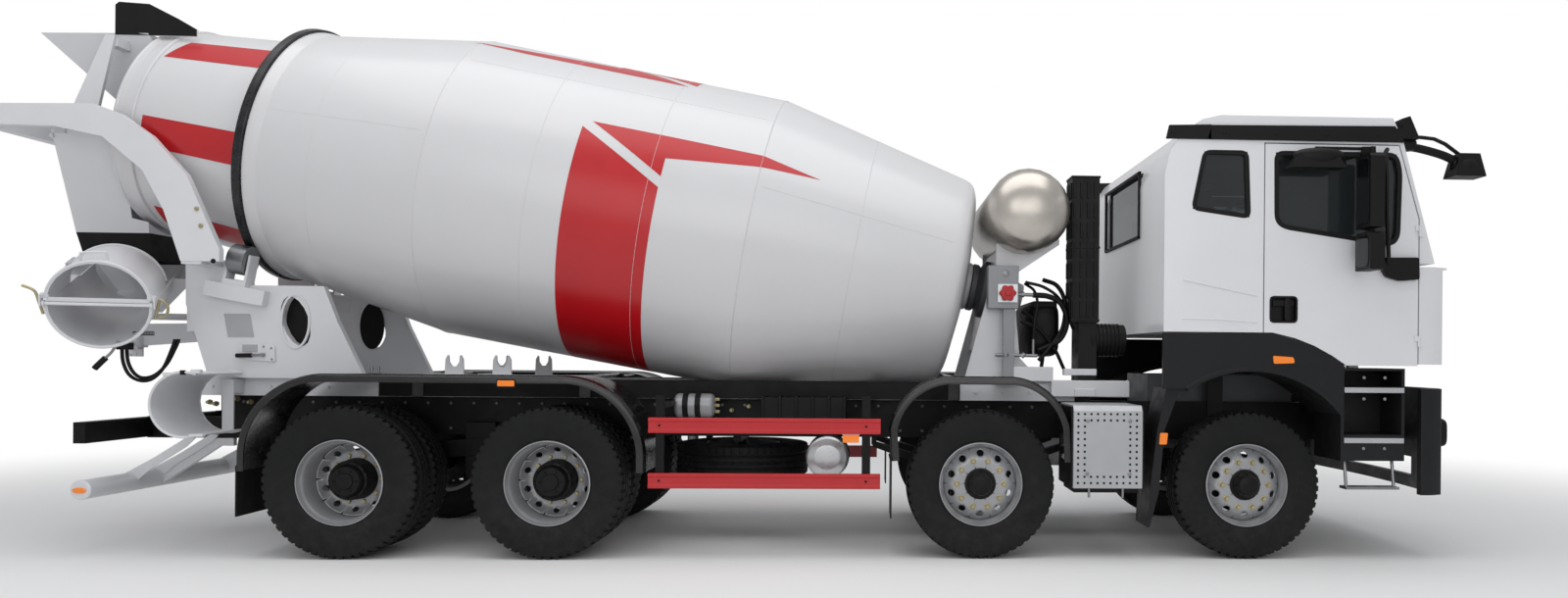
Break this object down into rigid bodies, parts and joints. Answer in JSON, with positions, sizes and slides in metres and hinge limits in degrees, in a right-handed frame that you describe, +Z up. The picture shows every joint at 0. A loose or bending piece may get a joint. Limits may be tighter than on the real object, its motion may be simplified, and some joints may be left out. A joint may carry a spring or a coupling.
{
  "type": "concrete mixer truck",
  "caption": "Four-axle concrete mixer truck with a tilting cab, two steered axles, twin-wheel tandem, turning drum, loading hopper and a swinging, tipping discharge chute.",
  "frame": {"origin": "on the ground, midway along the whole length and midway between the sides", "axes": "+X to the front of the truck, +Y to its left side, +Z up"},
  "size_m": [10.685, 3.12, 3.995],
  "materials": {
    "aluminium": "clean",
    "black_plastic": "clean",
    "black_steel": "clean",
    "grey_steel": "clean",
    "red_paint": "clean",
    "stainless": "clean",
    "trim": "clean",
    "tyre": "clean",
    "white_paint": "clean",
    "window_glass": "clean"
  },
  "bodies": {
    "chassis": {"air_intake": "black_plastic", "battery_box": "aluminium", "chassis_frame": "black_steel", "collector": "white_paint", "drum_drive": "grey_steel", "engine": "grey_steel", "front_axle_1": "black_steel", "front_axle_2": "black_steel", "front_bumper": "black_plastic", "fuel_tank": "aluminium", "hopper": "white_paint", "mudguard_front": "black_plastic", "mudguard_rear": "black_plastic", "rear_bogie": "black_steel", "rear_frame": "white_paint", "side_guard_left": "red_paint", "side_guard_right": "red_paint", "spare_chute": "white_paint", "spare_wheel": "tyre", "subframe": "white_paint", "underrun_bar": "white_paint", "water_tank": "stainless", "wheel_arch_left": "black_plastic", "wheel_arch_right": "black_plastic"},
    "drum": {"drum": "white_paint"},
    "drum_roller_right": {"drum_roller_right": "black_steel"},
    "drum_roller_left": {"drum_roller_left": "black_steel"},
    "knuckle_1_right": {"knuckle_1_right": "black_steel"},
    "steer_wheel_1_right": {"steer_wheel_1_right": "tyre"},
    "twin_wheels_1_right": {"twin_wheels_1_right": "tyre"},
    "knuckle_2_right": {"knuckle_2_right": "black_steel"},
    "steer_wheel_2_right": {"steer_wheel_2_right": "tyre"},
    "twin_wheels_2_right": {"twin_wheels_2_right": "tyre"},
    "knuckle_1_left": {"knuckle_1_left": "black_steel"},
    "steer_wheel_1_left": {"steer_wheel_1_left": "tyre"},
    "twin_wheels_1_left": {"twin_wheels_1_left": "tyre"},
    "knuckle_2_left": {"knuckle_2_left": "black_steel"},
    "steer_wheel_2_left": {"steer_wheel_2_left": "tyre"},
    "twin_wheels_2_left": {"twin_wheels_2_left": "tyre"},
    "cab": {"cab_shell": "white_paint", "cab_interior": "trim", "windscreen": "window_glass", "rear_window": "window_glass", "front_panel": "white_paint", "roof_trim": "black_plastic", "quarter_window_right": "window_glass", "quarter_window_left": "window_glass"},
    "door_right": {"door_right": "white_paint", "door_glass_right": "window_glass", "mirror_right": "black_plastic"},
    "door_left": {"door_left": "white_paint", "door_glass_left": "window_glass", "mirror_left": "black_plastic"},
    "front_lid": {"front_lid": "white_paint"},
    "steering_wheel": {"steering_wheel": "black_plastic"},
    "chute_swivel": {"chute_swivel": "white_paint"},
    "chute": {"chute": "white_paint"},
    "chute_extension": {"chute_extension": "white_paint"},
    "lift_barrel": {"lift_barrel": "black_steel"},
    "lift_rod": {"lift_rod": "aluminium"}
  },
  "joints": [
    {"name": "drum_spin", "type": "hinge", "parent": "chassis", "child": "drum", "pos_m": [-3.7025, 0, 3.007], "axis": [0.9834, 0, -0.1814], "continuous": true},
    {"name": "roller_spin_right", "type": "hinge", "parent": "chassis", "child": "drum_roller_right", "pos_m": [-3.6004, -0.64674, 2.08299], "axis": [0.9834, 0, -0.1814], "continuous": true},
    {"name": "roller_spin_left", "type": "hinge", "parent": "chassis", "child": "drum_roller_left", "pos_m": [-3.6004, 0.64674, 2.08299], "axis": [0.9834, 0, -0.1814], "continuous": true},
    {"name": "steer_1_right", "type": "hinge", "parent": "chassis", "child": "knuckle_1_right", "pos_m": [3.6775, -0.85, 0.525], "axis": [0, 0, 1], "range_deg": [-35, 35]},
    {"name": "spin_steer_wheel_1_right", "type": "hinge", "parent": "knuckle_1_right", "child": "steer_wheel_1_right", "pos_m": [3.6775, -1.03, 0.525], "axis": [0, 1, 0], "continuous": true},
    {"name": "spin_twin_wheels_1_right", "type": "hinge", "parent": "chassis", "child": "twin_wheels_1_right", "pos_m": [-1.2225, -0.93, 0.525], "axis": [0, 1, 0], "continuous": true},
    {"name": "steer_2_right", "type": "hinge", "parent": "chassis", "child": "knuckle_2_right", "pos_m": [1.7775, -0.85, 0.525], "axis": [0, 0, 1], "range_deg": [-35, 35]},
    {"name": "spin_steer_wheel_2_right", "type": "hinge", "parent": "knuckle_2_right", "child": "steer_wheel_2_right", "pos_m": [1.7775, -1.03, 0.525], "axis": [0, 1, 0], "continuous": true},
    {"name": "spin_twin_wheels_2_right", "type": "hinge", "parent": "chassis", "child": "twin_wheels_2_right", "pos_m": [-2.6225, -0.93, 0.525], "axis": [0, 1, 0], "continuous": true},
    {"name": "steer_1_left", "type": "hinge", "parent": "chassis", "child": "knuckle_1_left", "pos_m": [3.6775, 0.85, 0.525], "axis": [0, 0, 1], "range_deg": [-35, 35]},
    {"name": "spin_steer_wheel_1_left", "type": "hinge", "parent": "knuckle_1_left", "child": "steer_wheel_1_left", "pos_m": [3.6775, 1.03, 0.525], "axis": [0, 1, 0], "continuous": true},
    {"name": "spin_twin_wheels_1_left", "type": "hinge", "parent": "chassis", "child": "twin_wheels_1_left", "pos_m": [-1.2225, 0.93, 0.525], "axis": [0, 1, 0], "continuous": true},
    {"name": "steer_2_left", "type": "hinge", "parent": "chassis", "child": "knuckle_2_left", "pos_m": [1.7775, 0.85, 0.525], "axis": [0, 0, 1], "range_deg": [-35, 35]},
    {"name": "spin_steer_wheel_2_left", "type": "hinge", "parent": "knuckle_2_left", "child": "steer_wheel_2_left", "pos_m": [1.7775, 1.03, 0.525], "axis": [0, 1, 0], "continuous": true},
    {"name": "spin_twin_wheels_2_left", "type": "hinge", "parent": "chassis", "child": "twin_wheels_2_left", "pos_m": [-2.6225, 0.93, 0.525], "axis": [0, 1, 0], "continuous": true},
    {"name": "cab_tilt", "type": "hinge", "parent": "chassis", "child": "cab", "pos_m": [4.8475, 0, 0.99], "axis": [0, 1, 0], "range_deg": [0, 45]},
    {"name": "door_right_open", "type": "hinge", "parent": "cab", "child": "door_right", "pos_m": [4.8635, -1.26, 1.9], "axis": [0, 0, 1], "range_deg": [0, 70]},
    {"name": "door_left_open", "type": "hinge", "parent": "cab", "child": "door_left", "pos_m": [4.8635, 1.26, 1.9], "axis": [0, 0, -1], "range_deg": [0, 70]},
    {"name": "front_lid_open", "type": "hinge", "parent": "cab", "child": "front_lid", "pos_m": [5.1455, 0, 2.006], "axis": [0, -1, 0], "range_deg": [0, 60]},
    {"name": "steering_wheel_turn", "type": "hinge", "parent": "cab", "child": "steering_wheel", "pos_m": [4.4495, 0.69, 2.07], "axis": [-0.7295, 0, 0.6839], "range_deg": [-570, 570]},
    {"name": "chute_swing", "type": "hinge", "parent": "chassis", "child": "chute_swivel", "pos_m": [-4.7725, 0, 1.96], "axis": [0, 0, 1], "range_deg": [-228, 0]},
    {"name": "chute_lift", "type": "hinge", "parent": "chute_swivel", "child": "chute", "pos_m": [-4.7725, 0, 1.96], "axis": [0.9135, 0.4067, 0], "range_deg": [-8, 7]},
    {"name": "chute_flip", "type": "hinge", "parent": "chute", "child": "chute_extension", "pos_m": [-4.24485, -1.18513, 1.72429], "axis": [0.9135, 0.4067, 0], "range_deg": [0, 180]},
    {"name": "lift_barrel_turn", "type": "hinge", "parent": "chute_swivel", "child": "lift_barrel", "pos_m": [-4.72694, -0.10232, 1.398], "axis": [0.9135, 0.4067, 0], "range_deg": [-20, 20]},
    {"name": "lift_rod_slide", "type": "slide", "parent": "lift_barrel", "child": "lift_rod", "axis": [0.3812, -0.8563, 0.3485], "range_m": [-0.1, 0.12]}
  ],
  "couplings": [
    {"joint": "roller_spin_right", "follows": "drum_spin", "ratio": -9},
    {"joint": "roller_spin_left", "follows": "drum_spin", "ratio": -9},
    {"joint": "steer_2_right", "follows": "steer_1_right", "ratio": 0.7},
    {"joint": "steer_1_left", "follows": "steer_1_right", "ratio": 1},
    {"joint": "steer_2_left", "follows": "steer_1_right", "ratio": 0.7},
    {"joint": "steering_wheel_turn", "follows": "steer_1_right", "ratio": 16},
    {"joint": "lift_barrel_turn", "follows": "chute_lift", "ratio": 0.81387},
    {"joint": "lift_rod_slide", "follows": "chute_lift", "m_per_rad": -0.56593}
  ]
}
